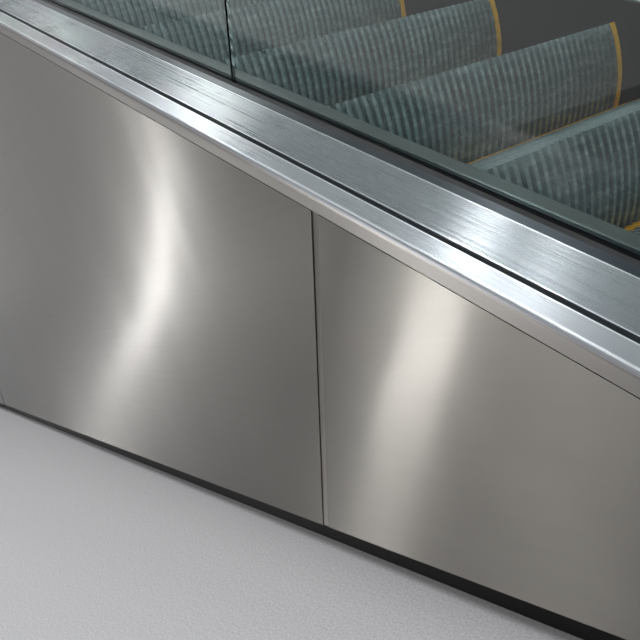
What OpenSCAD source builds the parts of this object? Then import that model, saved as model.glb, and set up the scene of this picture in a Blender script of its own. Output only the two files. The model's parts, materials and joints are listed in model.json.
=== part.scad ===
// Escalator with glass balustrades, brushed steel decks and side cladding down to the floor.
// X runs up the escalator, Y across it and Z up. The origin is on the centreline at floor
// level, below the comb line of the lower landing. All sizes are in millimetres.

/* [Travel] */
// Height from the lower landing to the upper landing
rise = 2850; // [2450:200:3250]
// Slope of the steps on the inclined run, in degrees
incline = 30; // [27:0.5:33]
// Level run of the steps before each comb
flat_run = 800; // [700:10:900]
// Radius of the nose line in the lower bend
bend_low_r = 1200; // [1000:50:1600]
// Radius of the nose line in the upper bend
bend_high_r = 1500; // [1200:50:2000]
// Height of the lower treads above the floor that the escalator stands on
landing_z = 60; // [52:1:75]

/* [Steps] */
// Width of the steps between the skirts
step_w = 1000; // [600:200:1000]
// Distance from one step nose to the next, along the step chain
step_pitch = 400; // [390:1:406]
// Gap between neighbouring steps on the level run
step_gap = 5; // [4.5:0.5:6]
// Distance from one cleat of the treads to the next
cleat_pitch = 22; // [18:1:26]
// Width of one cleat
cleat_w = 9; // [7:0.5:10]
// Depth of the grooves between the cleats
groove_h = 11; // [10:0.5:13]
// Thickness of the casting under the grooves
step_plate_t = 9; // [7:0.5:12]
// Width of the yellow edge insert at the rear of each tread
edge_w = 36; // [30:1:40]
// Width of the yellow edge inserts along both sides of each tread and riser
side_w = 18; // [14:1:26]

/* [Balustrade] */
// Height of the handrail above the nose line
rail_h = 900; // [880:5:950]
// Radius of the handrail round the newel ends, at its outer face
newel_r = 330; // [310:5:350]
// Thickness of the glass panes
glass_t = 12; // [10:1:12]
// Distance from the side of a step to the middle of the glass
glass_offset = 118; // [114:1:126]
// Place of the first joint between glass panes, from the lower comb
glass_joint_x = 340; // [200:10:500]
// Distance between the joints of the glass panes, measured along the floor
glass_bay = 1900; // [1500:10:2000]
// Gap between two glass panes
pane_gap = 6; // [4:1:8]
// Width of the rubber handrail
rail_w = 80; // [76:1:82]
// Thickness of the rubber handrail
rail_t = 26; // [25:1:28]

/* [Decks and cladding] */
// Width of the flat outer deck plate
deck_w = 86; // [70:1:110]
// Width of the shadow groove beside the deck plate
groove_w = 9; // [6:1:12]
// Width of the edge trim outside the groove
trim_w = 37; // [32:1:45]
// Height of the edge trim's outer face
fascia_h = 22; // [18:1:30]
// Height of the deck plate above the nose line
deck_v = 100; // [92:1:110]
// Thickness of the folded deck and trim sheet
sheet_t = 4; // [3:0.5:5]
// Depth of the folded cladding panels
clad_t = 50; // [40:1:60]
// Shadow gap between the cladding and the edge trim
clad_gap = 3; // [2:0.5:4]
// Place of the first joint between cladding panels, from the lower comb
clad_joint_x = 1850; // [1500:50:2050]
// Distance between the joints of the cladding panels, measured along the floor
clad_bay = 2400; // [1800:50:2400]
// Width of the strip that covers the joint of two cladding panels
strip_w = 12; // [10:1:24]
// Height of the recessed plinth under the cladding
plinth_h = 45; // [40:1:50]
// Depth of the plinth's recess behind the cladding face
plinth_recess = 20; // [14:1:30]

/* [Landings] */
// Length of each landing beyond its comb line
landing_run = 1100; // [1050:10:1300]
// Length of the comb plates
comb_run = 200; // [180:10:240]
// Length of the comb teeth in the grooves of the treads
tooth_run = 50; // [40:1:60]
// Height of the landing plates above the treads
landing_lift = 12; // [10:1:14]
// Thickness of the landing plates
floor_t = 30; // [24:1:34]

/* [Hidden] */
$fn = 48;

arc_steps = 20;        // straight pieces in a bend of the side outlines
pan_t = 10;            // base pan under the whole machine
butt = 1.6;            // butt joint between two lengths of a deck or skirt
rail_joint = 0.3;      // joint between two lengths of a handrail
skirt_gap = 4;         // from the side of a step to the skirt
skirt_t = 8;
skirt_v = 51;          // top of the skirt above the nose line
support_v = 10;        // top of the truss and brackets above the nose line
frame_t = 40;          // width of the truss side frames
post_w = 70;           // posts and chords of the truss side frames
bracket_l = 60;
bracket_t = 30;
cover = 6000;          // larger than anything that is cut

// Rollers and tracks, placed from the step nose
chain_at = [330, -110];
trail_at = [140, -215];
chain_roller_r = 38;
trail_roller_r = 30;
roller_w = 25;
stub_r = 12;
cheek_t = 10;
stub_reach = 8;        // from the side plate of a step to its trailing roller
ride_gap = 5;          // from the trailing roller to the inner edge of its track
track_t = 35;
track_v = -360;        // underside of the tracks below the nose line
beam_h = 80;

half = step_w / 2;
side_gap = 2;          // from the nominal step width to the casting's side
gasket_t = 4;          // gasket on the inner face of the glass
trail_y = half - side_gap - cheek_t - stub_reach - roller_w;
glass_in = half + glass_offset - glass_t / 2;
glass_out = half + glass_offset + glass_t / 2;
channel_in = glass_in - gasket_t - sheet_t;
channel_out = glass_out + 38;
deck_out = channel_out + deck_w;
trim_in = deck_out + groove_w;
edge = trim_in + trim_w;
clad_out = edge - 2;
clad_in = clad_out - clad_t;
frame_in = clad_in - frame_t;
skirt_in = half + skirt_gap;
skirt_out = skirt_in + skirt_t;
trim_low_v = deck_v - fascia_h;
clad_v = trim_low_v - clad_gap;

sin_i = sin(incline);
cos_i = cos(incline);
upper_z = landing_z + rise;
incline_l = (rise - (bend_low_r + bend_high_r) * (1 - cos_i)) / sin_i;
x_bend_low = flat_run;
x_incline = x_bend_low + bend_low_r * sin_i;
z_incline = landing_z + bend_low_r * (1 - cos_i);
x_bend_high = x_incline + incline_l * cos_i;
x_flat_high = x_bend_high + bend_high_r * sin_i;
x_comb_high = x_flat_high + flat_run;
bend_low_l = bend_low_r * PI * incline / 180;
bend_high_l = bend_high_r * PI * incline / 180;
path_l = 2 * flat_run + bend_low_l + incline_l + bend_high_l;

newel_back = 350;      // from the comb line out to the centre of the newel
x_newel_low = -newel_back;
x_newel_high = x_comb_high + newel_back;
deck_past = 100;       // decks run this far past the newel centre
x_deck_low = x_newel_low - deck_past;
x_deck_high = x_newel_high + deck_past;
x_end_low = -landing_run;
x_end_high = x_comb_high + landing_run;
cap_l = 30;
cap_gap = 1;           // from a newel cap to the landing plate
landing_under = landing_z + landing_lift - floor_t;

// Point of the nose line at path length s from the lower comb
function nose(s) =
    let (s1 = s - flat_run, s2 = s1 - bend_low_l, s3 = s2 - incline_l, s4 = s3 - bend_high_l)
    s1 < 0 ? [s, landing_z] :
    s2 < 0 ? [x_bend_low + bend_low_r * sin(s1 / bend_low_r * 180 / PI),
              landing_z + bend_low_r * (1 - cos(s1 / bend_low_r * 180 / PI))] :
    s3 < 0 ? [x_incline + s2 * cos_i, z_incline + s2 * sin_i] :
    s4 < 0 ? let (a = incline - s3 / bend_high_r * 180 / PI)
             [x_flat_high - bend_high_r * sin(a), upper_z - bend_high_r * (1 - cos(a))] :
    [x_flat_high + s4, upper_z];

// Side outline at height v above the nose line, from x0 to x1, moved by at
function line_at(v, x0, x1, at = [0, 0]) = concat(
    [[x0, landing_z + v] + at],
    [for (i = [0:arc_steps]) let (a = incline * i / arc_steps)
        [x_bend_low + (bend_low_r - v) * sin(a),
         landing_z + bend_low_r - (bend_low_r - v) * cos(a)] + at],
    [for (i = [0:arc_steps]) let (a = incline * (1 - i / arc_steps))
        [x_flat_high - (bend_high_r + v) * sin(a),
         upper_z - bend_high_r + (bend_high_r + v) * cos(a)] + at],
    [[x1, upper_z + v] + at]
);

function reversed(list) = [for (i = [len(list) - 1:-1:0]) list[i]];
function arc(c, r, a0, a1, n) = [for (i = [0:n]) let (a = a0 + (a1 - a0) * i / n)
    c + r * [cos(a), sin(a)]];

// Height of the nose line at x
function nose_z(x) =
    x < x_bend_low ? landing_z :
    x < x_incline ? landing_z + bend_low_r - sqrt(pow(bend_low_r, 2) - pow(x - x_bend_low, 2)) :
    x < x_bend_high ? z_incline + (x - x_incline) * tan(incline) :
    x < x_flat_high ? upper_z - bend_high_r + sqrt(pow(bend_high_r, 2) - pow(x - x_flat_high, 2)) :
    upper_z;

// Slope of the nose line at x, in degrees
function slope_at(x) =
    x < x_bend_low ? 0 :
    x < x_incline ? asin((x - x_bend_low) / bend_low_r) :
    x < x_bend_high ? incline :
    x < x_flat_high ? asin((x_flat_high - x) / bend_high_r) :
    0;

// Band of width w in side view, square to the nose line at x, where two panels meet
module joint_band(x, w) {
    translate([x, nose_z(x)]) rotate(slope_at(x)) translate([-w / 2, -cover]) square([w, 2 * cover]);
}

// Puts a piece drawn for the left side on the left or right side
module on_side(side) {
    if (side > 0) children();
    else mirror([0, 1, 0]) children();
}

// Extrudes an X-Z outline from y0 outwards by t on the left side
module plate_at(y0, t) {
    translate([0, y0 + t, 0]) rotate([90, 0, 0]) linear_extrude(t) children();
}

// Keeps what lies above the base pan
module above_pan() {
    intersection() {
        union() children();
        translate([-cover, -cover, pan_t]) cube([4 * cover, 2 * cover, 2 * cover]);
    }
}

// Sweeps a section along one length of the balustrade: X of the section is the distance from
// the centreline and Y the height above the nose line
module swept_flat(x0, x1, z) {
    translate([x0, 0, z]) rotate([90, 0, 90]) linear_extrude(x1 - x0) children();
}

module swept_incline(trim = 0) {
    translate([x_incline, 0, z_incline]) rotate([0, -incline, 0]) translate([trim, 0, 0])
        rotate([90, 0, 90]) linear_extrude(incline_l - 2 * trim) children();
}

module swept_bend_low(trim = 0) {
    a = trim / bend_low_r * 180 / PI;
    translate([x_bend_low, 0, landing_z + bend_low_r]) rotate([0, 90, 0]) rotate([90, 0, 0])
        rotate([0, 0, a]) rotate_extrude(angle = incline - 2 * a)
            translate([bend_low_r, 0]) rotate(90) mirror([1, 0]) children();
}

module swept_bend_high(trim = 0) {
    a = trim / bend_high_r * 180 / PI;
    translate([x_flat_high, 0, upper_z - bend_high_r]) rotate([0, -90, 0]) rotate([90, 0, 0])
        rotate([0, 0, a]) rotate_extrude(angle = incline - 2 * a)
            translate([bend_high_r, 0]) rotate(-90) children();
}

// The five lengths of a deck, with a butt joint between them
module swept_lengths(x0, x1) {
    swept_flat(x0, x_bend_low - butt / 2, landing_z) children();
    swept_bend_low(butt / 2) children();
    swept_incline(butt / 2) children();
    swept_bend_high(butt / 2) children();
    swept_flat(x_flat_high + butt / 2, x1, upper_z) children();
}

// The run round both newels in seven lengths, with a fine joint between them
module swept_loop() {
    j = rail_joint / 2;
    swept_flat(x_newel_low + j, x_bend_low - j, landing_z) children();
    swept_bend_low(j) children();
    swept_incline(j) children();
    swept_bend_high(j) children();
    swept_flat(x_flat_high + j, x_newel_high - j, upper_z) children();
    translate([x_newel_low - j, 0, landing_z + rail_h - newel_r]) rotate([0, -90, 0])
        rotate([90, 0, 0]) rotate_extrude(angle = 180)
            translate([newel_r - rail_h, 0]) rotate(-90) children();
    translate([x_newel_high + j, 0, upper_z + rail_h - newel_r]) rotate([0, 90, 0])
        rotate([90, 0, 0]) rotate_extrude(angle = 180)
            translate([newel_r - rail_h, 0]) rotate(-90) children();
}

// Base and carrying structure

module base_pan() {
    color("dimgray") translate([x_end_low, -clad_in, 0])
        cube([x_end_high - x_end_low, 2 * clad_in, pan_t]);
}

module plinth() {
    plinth_t = clad_t - plinth_recess;
    x1 = x_end_high - plinth_recess;
    color([0.08, 0.08, 0.08]) {
        for (side = [1, -1]) on_side(side) plate_at(clad_in, plinth_t) polygon([
            [x_end_low, 0], [x1, 0], [x1, plinth_h], [x_deck_low, plinth_h],
            [x_deck_low, landing_under], [x_end_low, landing_under]
        ]);
        translate([x1 - plinth_t, -clad_in + butt / 4, pan_t])
            cube([plinth_t, 2 * clad_in - butt / 2, plinth_h - pan_t]);
    }
}

// Stations of the posts, from the lower bend to the upper end
post_count = 7;
function post_x(i) = x_bend_low + post_w + (x_end_high - plinth_recess - 2 * post_w - x_bend_low)
    * i / (post_count - 1);

module truss_outline() {
    polygon(concat(
        [[x_deck_low, pan_t], [x_end_high - plinth_recess - post_w, pan_t]],
        [[x_end_high - plinth_recess - post_w, upper_z + landing_lift - floor_t],
         [x_deck_high, upper_z + landing_lift - floor_t]],
        reversed(line_at(support_v, x_deck_low, x_deck_high))));
}

module truss_side() {
    chord = post_w;
    color("gray") plate_at(frame_in, frame_t) difference() {
        truss_outline();
        for (i = [1:post_count - 2]) {
            x0 = post_x(i) + post_w / 2;
            x1 = post_x(i + 1) - post_w / 2;
            low = pan_t + chord;
            top0 = nose_z(x0) + support_v - chord / cos_i - chord / 3;
            top1 = nose_z(x1) + support_v - chord / cos_i - chord / 3;
            bar = chord * 0.7;
            polygon([[x0, low], [x1 - bar, low], [x0, top0 - bar]]);
            polygon([[x0 + bar, top0], [x1, low + bar], [x1, top1]]);
        }
    }
}

module cross_beams() {
    color("gray") above_pan() for (i = [1:post_count - 1]) {
        s = flat_run + bend_low_l + incline_l * (i - 0.6) / (post_count - 1);
        at = nose(s);
        translate([at[0], 0, at[1]]) rotate([0, -incline, 0])
            translate([0, -frame_in, track_v - beam_h]) cube([beam_h, 2 * frame_in, beam_h]);
    }
    color("gray") for (x = [x_flat_high + beam_h, x_comb_high - beam_h,
                            x_deck_high - 2 * beam_h])
        translate([x, -frame_in, upper_z + track_v - beam_h])
            cube([beam_h, 2 * frame_in, beam_h]);
}

bracket_count = 9;

module bracket() {
    translate([0, skirt_out]) square([bracket_l, frame_in - skirt_out]);
}

module deck_brackets() {
    color("gray") for (side = [1, -1]) on_side(side) {
        for (x = [x_deck_low + bracket_l, x_bend_low - 2 * bracket_l])
            translate([x, 0, landing_z + support_v - bracket_t])
                linear_extrude(bracket_t) bracket();
        for (x = [x_flat_high + bracket_l, x_deck_high - 2 * bracket_l])
            translate([x, 0, upper_z + support_v - bracket_t])
                linear_extrude(bracket_t) bracket();
        for (i = [0:bracket_count - 1]) {
            s = flat_run + bend_low_l + (incline_l - bracket_l) * i / (bracket_count - 1);
            at = nose(s);
            translate([at[0], 0, at[1]]) rotate([0, -incline, 0])
                translate([0, 0, support_v - bracket_t]) linear_extrude(bracket_t) bracket();
        }
    }
}

// A track is a plate from the rollers down to the common underside
module track(at, r, y0) {
    x1 = x_comb_high;
    for (side = [1, -1]) on_side(side) plate_at(y0, track_t) intersection() {
        polygon(concat(line_at(-r, x_bend_low, x1, at),
                       reversed(line_at(track_v, x_bend_low, x1 + at[0]))));
        translate([0, pan_t]) square([x1, 2 * cover]);
    }
}

module step_tracks() {
    color("silver") {
        track(chain_at, chain_roller_r, skirt_out - 2);
        track(trail_at, trail_roller_r, trail_y - ride_gap);
    }
}

// Steps

comb_under = 3;         // underside of the comb plates above the treads
first_nose = 6;        // path length of the first nose, just inside the lower comb
step_count = floor((path_l + 20 - first_nose) / step_pitch);
function step_at(k) = nose(first_nose + step_pitch * k);
tread_l = step_pitch - step_gap;
casting_l = tread_l - edge_w;
casting_t = groove_h + step_plate_t;
riser_r = 0.825 * step_pitch;
riser_angle = 40;
side = half - side_gap;    // half the width of a step casting
band = side - side_w;  // half the width of the cleats between the side inserts
cleat_count = floor((2 * band - cleat_w) / cleat_pitch) + 1;
cleat_y0 = -((cleat_count - 1) * cleat_pitch + cleat_w) / 2;

// Outline of the cleats on their plate. The ledges at both sides are as high as ledge
function cleats(ledge, under) = concat(
    [[-side, -under], [-side, ledge], [-band, ledge]],
    ledge == 0 ? [[-band, -groove_h]] : [],
    [for (i = [0:cleat_count - 1])
        for (p = [[0, -groove_h], [0, 0], [cleat_w, 0], [cleat_w, -groove_h]])
            [cleat_y0 + i * cleat_pitch, 0] + p],
    ledge == 0 ? [[band, -groove_h]] : [],
    [[band, ledge], [side, ledge], [side, -under]]
);

// Moves a section of the step along the tread, and round the face of the riser
module along_tread(x0, x1) {
    translate([x0, 0, 0]) rotate([90, 0, 90]) linear_extrude(x1 - x0) children();
}

module round_riser() {
    translate([riser_r, 0, -casting_t]) rotate([90, 0, 0]) rotate([0, 0, 180])
        rotate_extrude(angle = riser_angle) rotate(-90) translate([0, riser_r]) children();
}

// Side plate of the casting, from the tread down to the foot of the riser
module cheek() {
    r = riser_r - casting_t + 4;
    rotate([90, 0, 0]) linear_extrude(cheek_t) polygon(concat(
        [[casting_t - 4, -casting_t + 2]],
        [for (i = [1:8]) let (a = riser_angle * i / 9)
            [riser_r - r * cos(a), -casting_t - r * sin(a)]],
        [trail_at + [-20, -20], trail_at + [30, -18], chain_at + [34, -24],
         [tread_l - 6, -casting_t], [casting_l, -casting_t], [casting_l, -casting_t + 2]]));
}

module step() {
    union() {
        along_tread(groove_h, casting_l) polygon(cleats(-groove_h, casting_t));
        for (i = [0:cleat_count - 1])
            translate([0, cleat_y0 + i * cleat_pitch, -casting_t])
                cube([groove_h, cleat_w, casting_t]);
        round_riser() polygon(cleats(-groove_h, casting_t));
        translate([0, side, 0]) cheek();
        translate([0, -side + cheek_t, 0]) cheek();
    }
}

module steps(first, last) {
    color("slategray") for (k = [first:last]) {
        at = step_at(k - 1);
        if (at[1] - casting_t - riser_r * sin(riser_angle) < pan_t)
            above_pan() translate([at[0], 0, at[1]]) step();
        else
            translate([at[0], 0, at[1]]) step();
    }
}

// The band of steps in five groups
function group_end(g) = floor(step_count * g / 5);
module step_group(g) { steps(group_end(g - 1) + 1, group_end(g)); }

module steps_lower_level() { step_group(1); }
module steps_lower_incline() { step_group(2); }
module steps_mid_incline() { step_group(3); }
module steps_upper_incline() { step_group(4); }
module steps_upper_level() { step_group(5); }

// Yellow inserts along the sides and rear of each tread and the sides of each riser
module step_edge_set(whole_riser) {
    strip = side_w - 2;
    union() {
        along_tread(casting_l, tread_l) polygon(cleats(0, casting_t));
        for (y = [-side, side - strip]) {
            translate([groove_h, y, -groove_h]) cube([casting_l - groove_h + 1, strip, groove_h]);
            translate([0, y, -casting_t]) cube([groove_h, strip, casting_t]);
            if (whole_riser) round_riser() translate([y, -groove_h]) square([strip, groove_h]);
        }
    }
}

full_riser = 260;      // a riser's side inserts run to its foot above this height

module step_edges() {
    color("gold") for (k = [1:step_count]) {
        at = step_at(k - 1);
        translate([at[0], 0, at[1]]) step_edge_set(at[1] - landing_z > full_riser);
    }
}

module roller(r, at, y0, stub_in, stub_out) {
    translate([at[0], y0 + roller_w, at[1]]) rotate([90, 0, 0]) {
        cylinder(r = r, h = roller_w);
        translate([0, 0, -stub_out]) cylinder(r = stub_r, h = roller_w + stub_in + stub_out);
    }
}

module step_rollers() {
    color("black") for (k = [1:step_count]) {
        at = step_at(k - 1);
        for (side = [1, -1]) on_side(side) translate([at[0], 0, at[1]]) {
            if (at[1] + chain_at[1] - chain_roller_r > pan_t)
                roller(chain_roller_r, chain_at, skirt_out + 3, skirt_out + 5 - half, 0);
            if (at[1] + trail_at[1] - trail_roller_r > pan_t)
                roller(trail_roller_r, trail_at, trail_y, 0, stub_reach);
        }
    }
}

// Skirts and decks

skirt_low = 25;        // skirt's lower edge above the chain rollers' axles

module skirt() {
    color([0.12, 0.12, 0.13]) plate_at(skirt_in, skirt_t) intersection() {
        polygon(concat(line_at(skirt_v, x_deck_low, x_deck_high),
                       reversed(line_at(skirt_low, x_deck_low - chain_at[0],
                                        x_deck_high - chain_at[0], chain_at))));
        translate([x_deck_low, pan_t]) square([x_deck_high - x_deck_low, 2 * cover]);
    }
}

module inner_deck() {
    top = deck_v - 4;
    color("silver") swept_lengths(x_deck_low, x_deck_high) polygon([
        [skirt_in, skirt_v], [skirt_in, skirt_v + sheet_t], [channel_in - sheet_t, top],
        [channel_in, top], [channel_in, support_v], [channel_in - sheet_t, support_v],
        [channel_in - sheet_t, top - sheet_t], [skirt_out, skirt_v]
    ]);
}

channel_floor = 20;
channel_wall = 27;
channel_top = deck_v - 6;
gasket_v = 30;

module glass_channel() {
    color("gray") swept_lengths(x_deck_low, x_deck_high) polygon([
        [channel_in, support_v], [channel_out, support_v], [channel_out, channel_top],
        [channel_out - channel_wall, channel_top],
        [channel_out - channel_wall, support_v + channel_floor],
        [channel_in + sheet_t, support_v + channel_floor],
        [channel_in + sheet_t, channel_top], [channel_in, channel_top]
    ]);
}

module glass_gaskets() {
    color([0.03, 0.03, 0.03]) for (side = [1, -1]) on_side(side)
        swept_lengths(x_deck_low, x_deck_high) {
            polygon([[glass_out, gasket_v + 20], [channel_out - channel_wall, gasket_v + 20],
                     [channel_out - channel_wall, channel_top - 6], [glass_out, channel_top]]);
            polygon([[channel_in + sheet_t, gasket_v + 20], [glass_in, gasket_v + 20],
                     [glass_in, channel_top], [channel_in + sheet_t, channel_top - 4]]);
        }
}

module outer_deck() {
    lip = 8;
    color("lightsteelblue") swept_lengths(x_deck_low, x_deck_high) polygon([
        [channel_out, support_v], [channel_out, deck_v], [deck_out, deck_v],
        [deck_out, deck_v - lip], [deck_out - sheet_t, deck_v - lip],
        [deck_out - sheet_t, deck_v - sheet_t], [channel_out + sheet_t, deck_v - sheet_t],
        [channel_out + sheet_t, support_v]
    ]);
}

module edge_trim() {
    tongue = 14;
    groove_v = deck_v - 8;
    round_r = 8;
    color("silver") swept_lengths(x_deck_low, x_deck_high) polygon(concat(
        [[deck_out - tongue, groove_v - sheet_t], [deck_out - tongue, groove_v],
         [trim_in, groove_v], [trim_in, deck_v]],
        arc([edge - round_r, deck_v - round_r], round_r, 90, 0, 6),
        [[edge, trim_low_v], [edge - sheet_t, trim_low_v]],
        arc([edge - round_r, deck_v - round_r], round_r - sheet_t, 0, 90, 4),
        [[trim_in + sheet_t, deck_v - sheet_t], [trim_in + sheet_t, groove_v - sheet_t]]));
}

// Glass and handrails

guide_v = rail_h - 64; // underside of the handrail guide
glass_v = rail_h - 45; // top edge of the glass in the guide
inlet_l = 320;
inlet_in = 60;         // from the newel centre to the front of the inlet
inlet_over = 60;       // height of the inlet over the underside of the returning handrail
inlet_h = rail_h - 2 * newel_r - deck_v + inlet_over;
inlet_w = 120;

// Area that the glass fills in side view, before it is cut into panes
module glass_area() {
    r = newel_r - (rail_h - glass_v) - 1;
    low = support_v + channel_floor;
    in = inlet_in - 4;
    past = inlet_in + inlet_l + 4;
    top = deck_v + inlet_h + 3;
    z_low = landing_z + rail_h - newel_r;
    z_high = upper_z + rail_h - newel_r;
    turn = acos(in / r);
    polygon(concat(
        line_at(low, x_newel_low + past, x_newel_high - past),
        [[x_newel_high - past, upper_z + top], [x_newel_high - in, upper_z + top]],
        arc([x_newel_high, z_high], r, turn - 180, 90, 32),
        reversed(line_at(glass_v - 1, x_newel_low + 1, x_newel_high - 1)),
        arc([x_newel_low, z_low], r, 90, 360 - turn, 32),
        [[x_newel_low + in, landing_z + top], [x_newel_low + past, landing_z + top]]));
}

module glass_side() {
    color([0.7, 0.85, 0.82, 0.4]) plate_at(glass_in, glass_t) difference() {
        glass_area();
        for (x = [glass_joint_x:glass_bay:x_newel_high - glass_bay / 4]) joint_band(x, pane_gap);
    }
}

rail_y = half + glass_offset;
lip_t = 7;
belt_top_t = 10;
lip_gap = 20;          // half of the slot between the lips
head_gap = 0.4;        // clearance between the guide and the handrail

module belt_section() {
    r = rail_t / 2;
    side = rail_w / 2;
    translate([rail_y, rail_h]) polygon(concat(
        arc([side - r, -r], r, 90, -90, 8),
        [[lip_gap, -rail_t], [lip_gap, -rail_t + lip_t], [side - 9, -rail_t + lip_t],
         [side - 9, -belt_top_t], [-side + 9, -belt_top_t], [-side + 9, -rail_t + lip_t],
         [-lip_gap, -rail_t + lip_t], [-lip_gap, -rail_t]],
        arc([-side + r, -r], r, 270, 90, 8)));
}

module guide_section() {
    head = rail_w / 2 - 9 - head_gap;
    neck = lip_gap - head_gap;
    head_low = -rail_t + lip_t + head_gap;
    translate([rail_y, 0]) polygon([
        [-head, rail_h - belt_top_t - head_gap], [head, rail_h - belt_top_t - head_gap],
        [head, rail_h + head_low], [neck, rail_h + head_low], [neck, guide_v],
        [glass_t / 2, guide_v], [glass_t / 2, glass_v], [-glass_t / 2, glass_v],
        [-glass_t / 2, guide_v], [-neck, guide_v], [-neck, rail_h + head_low],
        [-head, rail_h + head_low]
    ]);
}

return_l = inlet_in + 60;

module handrail() {
    j = rail_joint / 2;
    rise_back = 2 * (rail_h - newel_r);
    color([0.04, 0.04, 0.04]) {
        swept_loop() belt_section();
        swept_flat(x_newel_low + j, x_newel_low + return_l, landing_z + rise_back)
            mirror([0, 1]) belt_section();
        swept_flat(x_newel_high - return_l, x_newel_high - j, upper_z + rise_back)
            mirror([0, 1]) belt_section();
    }
}

module handrail_guide() {
    color("silver") swept_loop() guide_section();
}

module inlet(way) {
    z0 = deck_v;
    mouth_z = rail_h - 2 * newel_r;
    slack = 0.3;
    scale([way, 1, 1]) difference() {
        plate_at(rail_y - inlet_w / 2, inlet_w) polygon(concat(
            [[inlet_in, z0]],
            arc([inlet_in + 40, z0 + inlet_h - 40], 40, 180, 90, 6),
            [[inlet_in + inlet_l * 0.45, z0 + inlet_h]],
            [[inlet_in + inlet_l, z0 + inlet_h * 0.3], [inlet_in + inlet_l, z0]]));
        translate([inlet_in - 1, rail_y - rail_w / 2 - slack, mouth_z - slack])
            cube([return_l - inlet_in + 2, rail_w + 2 * slack, rail_t + 2 * slack]);
    }
}

module handrail_inlets() {
    color([0.05, 0.05, 0.05]) for (side = [1, -1]) on_side(side) {
        translate([x_newel_low, 0, landing_z]) inlet(1);
        translate([x_newel_high, 0, upper_z]) inlet(-1);
    }
}

// Caps that close the ends of the decks
module newel_cap(way) {
    r = 22;
    span = edge - skirt_in;
    low = landing_lift - floor_t;
    scale([way, 1, 1]) translate([-cap_l, skirt_in, low])
        linear_extrude(deck_v - low) polygon(concat(
            [[cap_l, 0], [r, 0]],
            arc([r, r], r, 270, 180, 6),
            arc([r, span - r], r, 180, 90, 6),
            [[cap_l, span]]));
}

module newel_caps() {
    color("silver") for (side = [1, -1]) on_side(side) {
        translate([x_deck_low, 0, landing_z]) newel_cap(1);
        translate([x_deck_high, 0, upper_z]) newel_cap(-1);
    }
}

// Cladding

module cladding_area() {
    polygon(concat(
        [[x_deck_low, plinth_h], [x_end_high - clad_t, plinth_h],
         [x_end_high - clad_t, upper_z + landing_lift - floor_t],
         [x_deck_high, upper_z + landing_lift - floor_t]],
        reversed(line_at(clad_v, x_deck_low, x_deck_high))));
}

strip_gap = 1.2;
clad_joints = [clad_joint_x:clad_bay:x_end_high - clad_bay / 2];

module cladding_side() {
    color("gainsboro") plate_at(clad_in, clad_t) difference() {
        cladding_area();
        for (x = clad_joints) joint_band(x, strip_w + 2 * strip_gap);
    }
}

module joint_strips() {
    recess = 1.5;
    color("silver") for (side = [1, -1]) on_side(side) for (x = clad_joints)
        plate_at(clad_in, clad_t - recess) intersection() {
            cladding_area();
            joint_band(x, strip_w);
        }
}

module end_wall() {
    color("gainsboro") translate([x_end_high - clad_t + strip_gap, -clad_out, plinth_h])
        cube([clad_t - strip_gap, 2 * clad_out, upper_z + landing_lift - floor_t - plinth_h]);
}

// Landings

// Plan of a landing plate: narrow between the skirts and as wide as the cladding outside
module landing_plan(inset = 0) {
    w = half - side_gap - inset;
    wide = edge - inset;
    x0 = comb_run + inset;
    x1 = newel_back + deck_past + cap_l + cap_gap + inset;
    x2 = landing_run - inset;
    polygon([[x0, -w], [x1, -w], [x1, -wide], [x2, -wide], [x2, wide], [x1, wide],
             [x1, w], [x0, w]]);
}

module floor_plate(z, way) {
    color("silver") translate([0, 0, z + landing_lift - floor_t]) scale([way, 1, 1])
        linear_extrude(floor_t) landing_plan();
}

module floor_plate_lower() { floor_plate(landing_z, -1); }
module floor_plate_upper() { translate([x_comb_high, 0, 0]) floor_plate(upper_z, 1); }

// Frame under a landing plate, with a bar that carries the comb
module landing_frame(low, top) {
    bar = 60;
    bar_h = min(bar, top - low);
    linear_extrude(top - low) intersection() {
        difference() {
            landing_plan(0);
            landing_plan(bar);
        }
        translate([0, -frame_in]) square([landing_run - plinth_recess - post_w, 2 * frame_in]);
    }
    translate([comb_run * 0.4, -side, top - low - bar_h])
        cube([comb_run * 0.6, 2 * side, bar_h + floor_t - landing_lift + comb_under]);
}

module landing_frame_lower() {
    color("dimgray") translate([0, 0, pan_t]) scale([-1, 1, 1])
        landing_frame(pan_t, landing_under);
}

module landing_frame_upper() {
    low = upper_z + track_v;
    color("dimgray") translate([x_comb_high, 0, low])
        landing_frame(low, upper_z + landing_lift - floor_t);
}

// A comb lies over the end of the treads, with its teeth in the grooves
module comb(way) {
    under = comb_under;
    dip = 6;
    tooth_gap = 2.5;
    tooth_w = cleat_pitch - cleat_w - 2 * tooth_gap;
    scale([way, 1, 1]) union() {
        rotate([90, 0, 0]) translate([0, 0, -side]) linear_extrude(2 * side) polygon([
            [0, under], [0, landing_lift - 3], [12, landing_lift], [comb_run, landing_lift],
            [comb_run, under]
        ]);
        for (i = [1:cleat_count - 1])
            translate([0, cleat_y0 + i * cleat_pitch - tooth_gap, 0]) rotate([90, 0, 0])
                linear_extrude(tooth_w) polygon([
                    [-tooth_run, -dip], [-tooth_run, -dip + 2], [0, landing_lift - 3],
                    [2, landing_lift - 3], [2, under], [-8, -dip]
                ]);
    }
}

module comb_lower() {
    color("silver") translate([0, 0, landing_z]) comb(-1);
}

module comb_upper() {
    color("silver") translate([x_comb_high, 0, upper_z]) comb(1);
}

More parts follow.
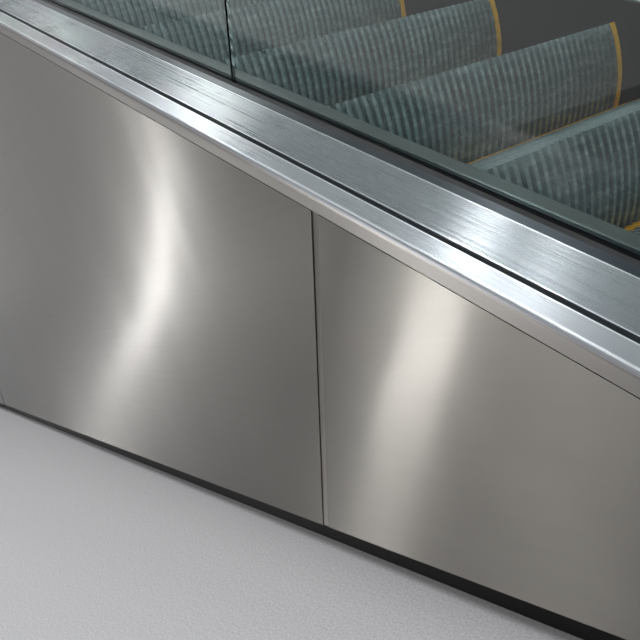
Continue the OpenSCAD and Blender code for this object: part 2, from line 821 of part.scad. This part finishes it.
base_pan();
plinth();
on_side(1) truss_side();  // truss_left
on_side(-1) truss_side();  // truss_right
cross_beams();
deck_brackets();
step_tracks();
step_rollers();
steps_lower_level();
steps_lower_incline();
steps_mid_incline();
steps_upper_incline();
steps_upper_level();
step_edges();
on_side(1) skirt();  // skirt_left
on_side(-1) skirt();  // skirt_right
on_side(1) inner_deck();  // inner_deck_left
on_side(-1) inner_deck();  // inner_deck_right
on_side(1) glass_channel();  // glass_channel_left
on_side(-1) glass_channel();  // glass_channel_right
glass_gaskets();
on_side(1) glass_side();  // glass_left
on_side(-1) glass_side();  // glass_right
on_side(1) outer_deck();  // outer_deck_left
on_side(-1) outer_deck();  // outer_deck_right
on_side(1) edge_trim();  // edge_trim_left
on_side(-1) edge_trim();  // edge_trim_right
on_side(1) cladding_side();  // cladding_left
on_side(-1) cladding_side();  // cladding_right
joint_strips();
end_wall();
on_side(1) handrail_guide();  // handrail_guide_left
on_side(-1) handrail_guide();  // handrail_guide_right
on_side(1) handrail();  // handrail_left
on_side(-1) handrail();  // handrail_right
handrail_inlets();
newel_caps();
landing_frame_lower();
landing_frame_upper();
floor_plate_lower();
floor_plate_upper();
comb_lower();
comb_upper();
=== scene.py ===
"""The finish of the escalator, its small fittings, a plain floor, soft light and the camera."""

import json
import math

import bmesh
import bpy
from mathutils import Matrix, Vector


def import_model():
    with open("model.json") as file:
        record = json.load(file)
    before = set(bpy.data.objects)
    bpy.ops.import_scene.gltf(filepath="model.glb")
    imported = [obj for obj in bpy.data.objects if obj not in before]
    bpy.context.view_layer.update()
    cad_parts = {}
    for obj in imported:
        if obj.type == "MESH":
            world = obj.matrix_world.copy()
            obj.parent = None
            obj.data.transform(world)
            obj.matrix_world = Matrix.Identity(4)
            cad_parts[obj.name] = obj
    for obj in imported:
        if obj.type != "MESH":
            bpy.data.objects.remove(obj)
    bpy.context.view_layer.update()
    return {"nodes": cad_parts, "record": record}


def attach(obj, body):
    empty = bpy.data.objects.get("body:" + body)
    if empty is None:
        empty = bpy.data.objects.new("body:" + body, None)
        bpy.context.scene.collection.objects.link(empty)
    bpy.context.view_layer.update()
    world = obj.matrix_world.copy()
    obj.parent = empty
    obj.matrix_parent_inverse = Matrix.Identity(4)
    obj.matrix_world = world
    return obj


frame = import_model()

# Sizes of the machine, in metres, from the frame's own axes
INCLINE = math.radians(30)
LOWER_TREAD = 0.060
UPPER_TREAD = 2.910
COMB_LOW = 0.0
COMB_HIGH = 7.2598
LANDING_LIFT = 0.012
KNEE_LOW = 1.1215
KNEE_HIGH = 6.0579

# How far the painted highlight along a folded edge reaches and how bright it is, how often
# brushing marks change along their own way, and the direction in which the cladding sheet was
# rolled
EDGE_HIGHLIGHT_WIDTH = 0.0014
EDGE_HIGHLIGHT_COLOUR = (0.80, 0.84, 0.88)
LINE_RUN = 1.6
BAND_RUN = 0.8
ROLL_TILT = math.radians(10)
ROLLED = (math.cos(ROLL_TILT), 0.0, math.sin(ROLL_TILT))


# Shader graphs

class Finish:
    """One material while its graph is put together. add() makes a node and returns an output."""

    def __init__(self, name):
        self.material = bpy.data.materials.new(name)
        self.material.use_nodes = True
        self.tree = self.material.node_tree
        self.tree.nodes.clear()
        self.place = self.add("TexCoord", pick="Object")

    def add(self, kind, inputs=None, pick=0, **settings):
        node = self.tree.nodes.new("ShaderNode" + kind)
        for key, value in settings.items():
            setattr(node, key, value)
        for key, value in (inputs or {}).items():
            self.fill(node.inputs[key], value)
        return node.outputs[pick]

    def fill(self, socket, value):
        if isinstance(value, bpy.types.NodeSocket):
            self.tree.links.new(value, socket)
        elif isinstance(value, tuple) and socket.type == "RGBA" and len(value) == 3:
            socket.default_value = (*value, 1.0)
        else:
            socket.default_value = value

    def math(self, operation, a, b=0.0):
        return self.add("Math", {0: a, 1: b}, operation=operation)

    def cross(self, a, b):
        return self.add("VectorMath", {0: a, 1: b}, operation="CROSS_PRODUCT")

    def combine(self, x, y, z):
        return self.add("CombineXYZ", {0: x, 1: y, 2: z})

    def axes(self, vector):
        node = self.tree.nodes.new("ShaderNodeSeparateXYZ")
        self.fill(node.inputs[0], vector)
        return tuple(node.outputs)

    def noise(self, vector, scale, detail=2.0, rough=0.5):
        return self.add("TexNoise", {"Vector": vector, "Scale": scale, "Detail": detail,
                                     "Roughness": rough})

    def remap(self, value, low, high, to_low=0.0, to_high=1.0):
        return self.add("MapRange", {"Value": value, "From Min": low, "From Max": high,
                                     "To Min": to_low, "To Max": to_high})

    def mix(self, amount, a, b):
        return self.add("Mix", {0: amount, 6: a, 7: b}, pick=2, data_type="RGBA")

    def scaled(self, colour, factor):
        node = self.tree.nodes.new("ShaderNodeVectorMath")
        node.operation = "SCALE"
        self.fill(node.inputs[0], colour)
        self.fill(node.inputs["Scale"], factor)
        return node.outputs[0]

    def bump(self, height, distance, normal=None):
        inputs = {"Height": height, "Distance": distance, "Strength": 1.0}
        if normal is not None:
            inputs["Normal"] = normal
        return self.add("Bump", inputs)

    def surface(self, inputs):
        return self.close(self.add("BsdfPrincipled", inputs))

    def close(self, shader):
        out = self.tree.nodes.new("ShaderNodeOutputMaterial")
        self.tree.links.new(shader, out.inputs["Surface"])
        return self.material


def slope_frame(f):
    """Height above the line of the step noses, and the direction of that line."""
    x, y, z = f.axes(f.place)
    line = f.remap(x, KNEE_LOW, KNEE_HIGH, LOWER_TREAD, UPPER_TREAD)
    above = f.math("SUBTRACT", z, line)
    after = f.math("GREATER_THAN", x, KNEE_LOW)
    before = f.math("LESS_THAN", x, KNEE_HIGH)
    sloped = f.math("MULTIPLY", after, before)
    way = f.combine(f.remap(sloped, 0, 1, 1, math.cos(INCLINE)), 0.0,
                    f.remap(sloped, 0, 1, 0, math.sin(INCLINE)))
    return x, y, above, way


def lined(f, keep, values, fine, long):
    """Coordinates that are stretched along one of three axes, for brushing marks."""
    parts = [f.math("MULTIPLY", value, long if i == keep else fine)
             for i, value in enumerate(values)]
    return f.combine(*parts)


def brushed(name, colour, rough, marks="slope", shine="slope", aniso=0.75, grain=0.10,
            fine=900.0, wave=0.0, smudge=0.0, side=None, keen=0.0, edges=()):
    """Brushed sheet metal. marks says how the fine lines run, as slope, x, y or z. shine is
    the direction across which the light is drawn out, as slope or a vector. side is the
    colour of the faces that stand upright beside the machine, where it differs; on the trim it
    is darker and warmer than the top, as painted shade. keen is the share of a second, sharper
    shine. wave is the height of the slow bulges of the sheet. edges are distances from the
    middle of the machine at which a folded edge gets a painted highlight, a bright line."""
    f = Finish(name)
    x, y, above, way = slope_frame(f)
    if marks == "slope":
        values, keep = (x, y, above), 0
    else:
        values, keep = f.axes(f.place), "xyz".index(marks)
    if shine != "slope":
        way = f.combine(*shine)
    # Painted shade: upright faces take the side colour instead of the top's colour, standing in
    # for how differently they are lit.
    if side:
        n = f.axes(f.add("NewGeometry", pick="True Normal"))[1]
        beside = f.remap(f.math("ABSOLUTE", n), 0.75, 0.9)
        colour = f.mix(beside, colour, side)
        way = f.mix(beside, way, ROLLED)
    line = f.noise(lined(f, keep, values, fine, LINE_RUN), 1.0, 3.0, 0.6)
    band = f.noise(lined(f, keep, values, fine / 9, BAND_RUN), 1.0, 2.0, 0.5)
    cloud = f.noise(f.place, 2.6, 4.0, 0.6)
    level = f.math("ADD", f.math("MULTIPLY", line, 0.65), f.math("MULTIPLY", band, 0.35))
    tone = f.remap(level, 0.3, 0.7, 1.0 - grain, 1.0 + grain)
    tone = f.math("MULTIPLY", tone, f.remap(cloud, 0.35, 0.65, 1.0 - smudge, 1.0 + smudge))
    base = f.scaled(colour, tone)
    # Painted highlight: a bright line along each folded edge, standing in for the light it
    # catches.
    for edge in edges:
        off = f.math("ABSOLUTE", f.math("SUBTRACT", f.math("ABSOLUTE", y), edge))
        base = f.mix(f.remap(off, EDGE_HIGHLIGHT_WIDTH, 0.0), base, EDGE_HIGHLIGHT_COLOUR)
    gloss = f.math("ADD", f.remap(line, 0.3, 0.7, rough - 0.03, rough + 0.04),
                   f.remap(cloud, 0.35, 0.65, -0.02, 0.03))
    if side:
        gloss = f.math("ADD", gloss, f.math("MULTIPLY", beside, 0.14))
    normal = f.bump(line, 0.00003)
    if wave:
        x, y, z = f.axes(f.place)
        slow = f.noise(f.place, 1.7, 1.5, 0.4)
        ripple = f.noise(f.combine(f.math("MULTIPLY", x, 8.0), y,
                                   f.math("MULTIPLY", z, 0.3)), 1.0, 1.0, 0.5)
        normal = f.bump(slow, wave, normal=normal)
        normal = f.bump(ripple, wave / 5, normal=normal)
    across = f.cross(f.add("NewGeometry", pick="True Normal"), way)
    inputs = {"Base Color": base, "Metallic": 1.0, "Roughness": gloss, "Normal": normal,
              "Anisotropic": aniso, "Tangent": across}
    if not keen:
        return f.surface(inputs)
    broad = f.add("BsdfPrincipled", inputs)
    inputs["Roughness"] = f.math("MULTIPLY", gloss, 0.5)
    sharp = f.add("BsdfPrincipled", inputs)
    return f.close(f.add("MixShader", {0: keen, 1: broad, 2: sharp}))


def painted(name, colour, rough, grain=400.0, depth=0.00003, glint=0.5):
    """Paint or moulded plastic with a fine orange-peel or leather grain and slight wear."""
    f = Finish(name)
    peel = f.noise(f.place, grain, 3.0, 0.6)
    cloud = f.noise(f.place, 6.0, 4.0, 0.6)
    base = f.scaled(colour, f.remap(cloud, 0.3, 0.7, 0.88, 1.12))
    gloss = f.remap(cloud, 0.3, 0.7, rough - 0.05, rough + 0.07)
    return f.surface({"Base Color": base, "Roughness": gloss, "Specular IOR Level": glint,
                      "Normal": f.bump(peel, depth)})


def step_casting():
    """Dark cast aluminium, lighter and glossier in random scuffed patches, with a slow patchy
    tone.
    """
    f = Finish("step_casting")
    x, y, z = f.axes(f.place)
    sand = f.noise(f.place, 700.0, 4.0, 0.65)
    cloud = f.noise(f.place, 9.0, 4.0, 0.6)
    scuff = f.noise(f.combine(f.math("MULTIPLY", x, 60.0), f.math("MULTIPLY", y, 14.0),
                              f.math("MULTIPLY", z, 60.0)), 1.0, 3.0, 0.6)
    worn = f.remap(scuff, 0.45, 0.72)
    base = f.mix(worn, (0.190, 0.270, 0.272), (0.35, 0.44, 0.44))
    base = f.scaled(base, f.remap(cloud, 0.3, 0.7, 0.85, 1.15))
    gloss = f.remap(worn, 0.0, 1.0, 0.46, 0.34)
    return f.surface({"Base Color": base, "Metallic": 0.5, "Roughness": gloss,
                      "Normal": f.bump(sand, 0.00012)})


def edge_yellow():
    """Yellow moulded inserts, rubbed and a little dirty."""
    f = Finish("edge_yellow")
    cloud = f.noise(f.place, 30.0, 4.0, 0.65)
    sand = f.noise(f.place, 900.0, 3.0, 0.6)
    base = f.mix(f.remap(cloud, 0.5, 0.75), (0.95, 0.56, 0.03), (0.62, 0.36, 0.05))
    return f.surface({"Base Color": base, "Roughness": f.remap(cloud, 0.3, 0.7, 0.4, 0.58),
                      "Normal": f.bump(sand, 0.0001)})


def pane_glass():
    """Clear float glass with a slight green tint that deepens at the cut edges."""
    f = Finish("pane_glass")
    n = f.axes(f.add("NewGeometry", pick="True Normal"))[1]
    edge = f.remap(f.math("ABSOLUTE", n), 0.9, 0.5)
    tint = f.mix(edge, (0.88, 0.94, 0.93), (0.26, 0.36, 0.34))
    film = f.noise(f.place, 5.0, 4.0, 0.6)
    tint = f.scaled(tint, f.remap(film, 0.45, 0.75, 1.0, 0.96))
    glass = f.add("BsdfPrincipled", {"Base Color": tint, "Transmission Weight": 1.0, "IOR": 1.5,
                                     "Roughness": 0.0})
    clear = f.add("BsdfTransparent", {"Color": (0.97, 0.98, 0.975)})
    shade = f.add("LightPath", pick="Is Shadow Ray")
    return f.close(f.add("MixShader", {0: shade, 1: glass, 2: clear}))


def handrail_rubber():
    """Black rubber with a soft shine, a little dull where hands rub it."""
    f = Finish("handrail_rubber")
    cloud = f.noise(f.place, 14.0, 4.0, 0.6)
    skin = f.noise(f.place, 600.0, 3.0, 0.6)
    base = f.mix(f.remap(cloud, 0.3, 0.7), (0.012, 0.012, 0.013), (0.022, 0.022, 0.024))
    return f.surface({"Base Color": base, "Roughness": f.remap(cloud, 0.3, 0.7, 0.27, 0.40),
                      "Coat Weight": 0.15, "Normal": f.bump(skin, 0.00003)})


def landing_metal():
    """Floor plates with fine pressed ribs across the way of travel, dark in the grooves as
    painted shade.
    """
    rib_pitch = 0.009
    f = Finish("landing_metal")
    x, y, z = f.axes(f.place)
    ribs = f.math("SINE", f.math("MULTIPLY", x, 2 * math.pi / rib_pitch))
    ribs = f.remap(ribs, -0.2, 0.5)
    brushing = f.noise(f.combine(f.math("MULTIPLY", x, 700.0), f.math("MULTIPLY", y, 4.0), z),
                       1.0, 3.0, 0.6)
    cloud = f.noise(f.place, 4.0, 4.0, 0.6)
    # Painted shade: dark in the grooves between the ribs, light on the rib tops.
    base = f.mix(ribs, (0.16, 0.16, 0.165), (0.46, 0.47, 0.49))
    base = f.scaled(base, f.remap(cloud, 0.3, 0.7, 0.88, 1.12))
    gloss = f.remap(brushing, 0.3, 0.7, 0.30, 0.42)
    return f.surface({"Base Color": base, "Metallic": 0.9, "Roughness": gloss,
                      "Normal": f.bump(ribs, 0.0006)})


MATERIALS = {
    "structure_paint": painted("structure_paint", (0.20, 0.21, 0.23), 0.55),
    "plinth_paint": painted("plinth_paint", (0.010, 0.010, 0.011), 0.55, glint=0.1),
    "track_steel": brushed("track_steel", (0.34, 0.34, 0.35), 0.32),
    "roller_plastic": painted("roller_plastic", (0.035, 0.035, 0.04), 0.42),
    "step_casting": step_casting(),
    "edge_yellow": edge_yellow(),
    "skirt_black": painted("skirt_black", (0.010, 0.012, 0.013), 0.16, depth=0.00001,
                           glint=0.25),
    "inner_deck_steel": brushed("inner_deck_steel", (0.085, 0.112, 0.108), 0.34),
    # Painted shade: the channel's near-black colour is partly its dark finish and partly stands
    # in for the shade deep inside the glass channel.
    "channel_metal": brushed("channel_metal", (0.024, 0.033, 0.042), 0.34, grain=0.2),
    "gasket_rubber": painted("gasket_rubber", (0.006, 0.006, 0.007), 0.6),
    "pane_glass": pane_glass(),
    # Painted highlights: deck_steel and trim_steel get a bright line along each folded edge at
    # the given distances.
    "deck_steel": brushed("deck_steel", (0.230, 0.252, 0.272), 0.27, grain=0.07,
                          aniso=0.85, edges=(0.6634, 0.7466)),
    # Painted shade: the trim's upright fascia takes a darker, warmer side colour than its top.
    "trim_steel": brushed("trim_steel", (0.35, 0.37, 0.40), 0.29, grain=0.06,
                          side=(0.180, 0.172, 0.163), edges=(0.7584, 0.7872, 0.7886)),
    "cladding_steel": brushed("cladding_steel", (0.158, 0.150, 0.138), 0.42, marks="x",
                              shine=ROLLED, aniso=1.0, grain=0.035, fine=1300.0,
                              wave=0.003, smudge=0.05, keen=0.35),
    "strip_steel": brushed("strip_steel", (0.158, 0.150, 0.138), 0.40, marks="x",
                           shine=ROLLED, aniso=1.0, grain=0.05),
    "guide_steel": brushed("guide_steel", (0.42, 0.43, 0.45), 0.25),
    "handrail_rubber": handrail_rubber(),
    "inlet_plastic": painted("inlet_plastic", (0.022, 0.022, 0.025), 0.48, grain=900.0,
                             depth=0.00008),
    "cap_steel": brushed("cap_steel", (0.42, 0.44, 0.47), 0.26, marks="z", shine=(0, 0, 1)),
    "landing_metal": landing_metal(),
    "comb_metal": brushed("comb_metal", (0.36, 0.37, 0.38), 0.34, marks="y", shine=(0, 1, 0),
                          grain=0.14),
}

for part in frame["record"]["subparts"]:
    node = frame["nodes"][part["node"]]
    node.data.materials.clear()
    node.data.materials.append(MATERIALS[part["material_slot"]])


# Small fittings

def piece(name, slot, build):
    """A new mesh that rides with the machine. build(bm) draws it in the frame's axes."""
    mesh = bpy.data.meshes.new(name)
    bm = bmesh.new()
    build(bm)
    bm.to_mesh(mesh)
    bm.free()
    obj = bpy.data.objects.new(name, mesh)
    bpy.context.scene.collection.objects.link(obj)
    mesh.materials.append(MATERIALS[slot])
    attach(obj, "root")


def turned(bm, profile, at):
    """A small body of revolution about the vertical through a point, from (radius, z) pairs."""
    sides = 24
    rings = []
    for radius, height in profile:
        ring = []
        for i in range(sides):
            angle = 2 * math.pi * i / sides
            ring.append(bm.verts.new((at[0] + radius * math.cos(angle),
                                      at[1] + radius * math.sin(angle), at[2] + height)))
        rings.append(ring)
    for low, high in zip(rings, rings[1:]):
        for i in range(sides):
            j = (i + 1) % sides
            bm.faces.new((low[i], low[j], high[j], high[i]))
    bm.faces.new(rings[-1])
    bm.faces.new(tuple(reversed(rings[0])))


# The combs and floor plates: edge of the comb, tread level, and the way off the machine
LANDINGS = ((COMB_LOW, LOWER_TREAD, -1), (COMB_HIGH, UPPER_TREAD, 1))
SCREW = [(0.0060, -0.0016), (0.0060, 0.0003), (0.0054, 0.0007), (0.0026, 0.0007),
         (0.0024, -0.0012)]
LIFT_PLUG = [(0.017, -0.002), (0.017, 0.0006), (0.0155, 0.0012), (0.0120, 0.0012),
             (0.0110, 0.0002), (0.0050, 0.0002), (0.0044, -0.0014)]


def comb_screws(bm):
    """Countersunk screws with a hollow head, a pair for each part of the comb."""
    for edge, top, way in LANDINGS:
        for i in range(10):
            for reach in (0.035, 0.165):
                place = (edge + way * reach, -0.45 + 0.1 * i, top + LANDING_LIFT)
                turned(bm, SCREW, place)


def lift_plugs(bm):
    """Plugs over the holes in the floor plates, where a lifting handle goes in."""
    for edge, top, way in LANDINGS:
        for reach in (0.27, 1.03):
            for y in (-0.36, 0.36):
                place = (edge + way * reach, y, top + LANDING_LIFT)
                turned(bm, LIFT_PLUG, place)


piece("comb_screws", "track_steel", comb_screws)
piece("lift_plugs", "comb_metal", lift_plugs)


# Floor, light and camera

def floor():
    """A plain pale floor with a fine speckle, large enough for every view."""
    reach = 30.0
    corners = [(-reach, -reach, 0), (reach, -reach, 0), (reach, reach, 0), (-reach, reach, 0)]
    mesh = bpy.data.meshes.new("floor")
    mesh.from_pydata(corners, [], [(0, 1, 2, 3)])
    obj = bpy.data.objects.new("floor", mesh)
    bpy.context.scene.collection.objects.link(obj)
    f = Finish("floor_plain")
    speck = f.noise(f.place, 260.0, 4.0, 0.7)
    base = f.mix(f.remap(speck, 0.35, 0.65), (0.43, 0.43, 0.445), (0.60, 0.60, 0.615))
    mesh.materials.append(f.surface({"Base Color": base, "Roughness": 0.6,
                                     "Specular IOR Level": 0.0}))


def strip_light(name, at, aim, along, length, width, power, shows="shine"):
    """A long soft light at a place, turned to a point, with its length along a direction.
    shows says where it counts, in shine or in plain light. No glass mirrors it."""
    data = bpy.data.lights.new(name, "AREA")
    data.shape = "RECTANGLE"
    data.size = width
    data.size_y = length
    data.energy = power
    data.cycles.use_multiple_importance_sampling = False
    back = (Vector(at) - Vector(aim)).normalized()
    side = Vector(along).cross(back).normalized()
    obj = bpy.data.objects.new(name, data)
    turn = Matrix((side, back.cross(side), back)).transposed().to_4x4()
    obj.matrix_world = Matrix.Translation(at) @ turn
    obj.visible_camera = False
    obj.visible_diffuse = shows == "plain"
    obj.visible_glossy = shows == "shine"
    bpy.context.scene.collection.objects.link(obj)


def world():
    """A soft even studio: pale to the camera, in shine and through glass, and a gentle
    gradient for plain light."""
    w = bpy.data.worlds.new("studio")
    bpy.context.scene.world = w
    w.use_nodes = True
    tree = w.node_tree
    tree.nodes.clear()

    def add(kind, **settings):
        node = tree.nodes.new("ShaderNode" + kind)
        for key, value in settings.items():
            setattr(node, key, value)
        return node

    coords = add("TexCoord")
    split = add("SeparateXYZ")
    tree.links.new(coords.outputs["Generated"], split.inputs[0])
    height = add("MapRange")
    gradient = {"From Min": -0.3, "From Max": 0.9, "To Min": 0.40, "To Max": 0.80}
    for key, value in gradient.items():
        height.inputs[key].default_value = value
    tree.links.new(split.outputs[2], height.inputs["Value"])
    path = add("LightPath")
    seen = path.outputs["Is Camera Ray"]
    for kind in ("Is Glossy Ray", "Is Transmission Ray"):
        both = add("Math", operation="MAXIMUM")
        tree.links.new(seen, both.inputs[0])
        tree.links.new(path.outputs[kind], both.inputs[1])
        seen = both.outputs[0]
    level = add("Mix", data_type="FLOAT")
    tree.links.new(seen, level.inputs[0])
    tree.links.new(height.outputs[0], level.inputs[2])
    level.inputs[3].default_value = 0.72
    back = add("Background")
    tree.links.new(level.outputs[0], back.inputs["Strength"])
    out = add("OutputWorld")
    tree.links.new(back.outputs[0], out.inputs[0])


def camera():
    """The photograph's place: outside the left balustrade, low, and tilted to the right."""
    eye = Vector((0.9915, 1.303, 0.5775))
    yaw = math.radians(60.33)
    pitch = math.radians(9.45)
    roll = math.radians(-19.5)
    focal_pixels = 776.0
    picture_pixels = 640.0
    sensor = 36.0
    ahead = Vector((math.sin(yaw) * math.cos(pitch), -math.cos(yaw) * math.cos(pitch),
                    -math.sin(pitch)))
    right = ahead.cross(Vector((0, 0, 1))).normalized()
    up = right.cross(ahead)
    across = math.cos(roll) * right + math.sin(roll) * up
    upward = -math.sin(roll) * right + math.cos(roll) * up
    data = bpy.data.cameras.new("camera")
    data.sensor_width = sensor
    data.lens = sensor * focal_pixels / picture_pixels
    data.clip_start = 0.02
    data.clip_end = 200.0
    obj = bpy.data.objects.new("camera", data)
    turn = Matrix((across, upward, -ahead)).transposed().to_4x4()
    obj.matrix_world = Matrix.Translation(eye) @ turn
    bpy.context.scene.collection.objects.link(obj)
    bpy.context.scene.camera = obj


floor()
strip_light("overhead", (3.5, 1.0, 6.5), (3.5, 0.5, 0), (1, 0, 0), 7.0, 3.0, 270, "plain")

# The upright bands on the cladding: name, place, height, width and power
wall = (2.6, 0.79, 0.3)
upright = (0, 0, 1)
leaning = (-0.72, 0, 0.70)
for name, at, tall, wide, power in (
        ("band_top", (6.95, 2.8, 1.25), 0.7, 0.20, 4.5),
        ("band_low", (6.1, 1.9, 0.07), 0.10, 0.25, 1.2),
        ("band_halo", (7.6, 2.8, 0.5), 1.0, 0.5, 3.5),
        ("band_middle", (6.1, 2.8, 0.14), 0.2, 1.3, 4.0),
        ("band_lower", (3.95, 2.8, 0.11), 0.16, 0.30, 4.0),
        ("band_wide", (4.05, 2.8, 0.11), 0.16, 0.8, 4.5),
        ("band_foot", (2.78, 1.6, 0.03), 0.04, 0.22, 2.4),
        ("band_side", (2.9, 2.8, 1.45), 0.5, 0.9, 32.0)):
    strip_light(name, at, wall, upright, tall, wide, power)
strip_light("far_side", (6.0, -4.0, 0.6), (5.0, -0.8, 0.8), upright, 1.0, 5.0, 60)
strip_light("band_upper", (7.8, 2.8, 0.48), wall, leaning, 1.05, 0.12, 8.0)

# The light patches on the deck: name, place, aim, direction, length, width and power
low_deck = (1.6, 0.7, 0.5)
mid_deck = (2.1, 0.7, 0.8)
for name, at, aim, along, length, wide, power in (
        ("across_far", (6.9, -1.5, 5.0), mid_deck, (-0.64, 0.77, 0), 3.0, 0.5, 8.0),
        ("across_upper", (5.1, -1.5, 5.0), mid_deck, (-0.64, 0.77, 0), 3.5, 0.25, 20.0),
        ("across_lower", (2.6, -2.3, 5.0), low_deck, (-0.45, 0.9, 0), 4.0, 0.22, 28.0),
        ("across_near", (1.85, -2.3, 5.0), low_deck, (-0.45, 0.9, 0), 4.0, 0.20, 21.0)):
    strip_light(name, at, aim, along, length, wide, power)

world()
camera()
bpy.context.scene.view_settings.view_transform = "Standard"
